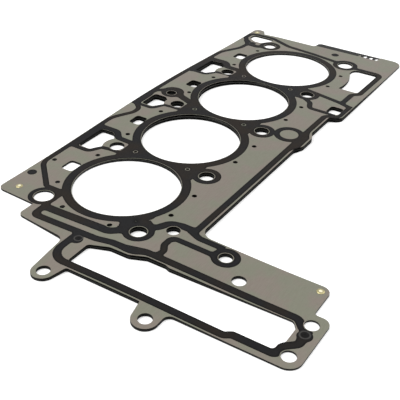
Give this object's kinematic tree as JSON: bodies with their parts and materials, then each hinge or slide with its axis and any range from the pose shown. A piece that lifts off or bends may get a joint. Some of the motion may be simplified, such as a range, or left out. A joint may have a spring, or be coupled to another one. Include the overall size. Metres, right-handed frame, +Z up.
{
  "type": "cylinder head gasket",
  "caption": "Layered steel head gasket with cylinder bores, bolt holes, fluid passages, printed seal bands and a chain case arm, riveted at its corners.",
  "frame": {"origin": "axis of the first cylinder bore, next to the chain case arm, at the underside of the lowest sheet", "axes": "+X along the row of bores towards the last one, +Y across it away from the arm, +Z up"},
  "size_m": [0.4837, 0.2781, 0.006],
  "materials": {
    "sheet_steel": "fine rolled grain, satin",
    "coated_steel": "thin dark coat over rolled steel",
    "stopper_steel": "dull",
    "seal_print": "matt elastomer print",
    "rivet_brass": "bright"
  },
  "bodies": {
    "root": {"bottom_layer": "coated_steel", "carrier_layer": "coated_steel", "top_layer": "sheet_steel", "stopper_ring_1": "stopper_steel", "stopper_ring_2": "stopper_steel", "stopper_ring_3": "stopper_steel", "stopper_ring_4": "stopper_steel", "top_seal_print": "seal_print", "bottom_seal_print": "seal_print", "rivet_front": "rivet_brass", "rivet_far": "rivet_brass", "rivet_arm": "rivet_brass"}
  },
  "joints": []
}
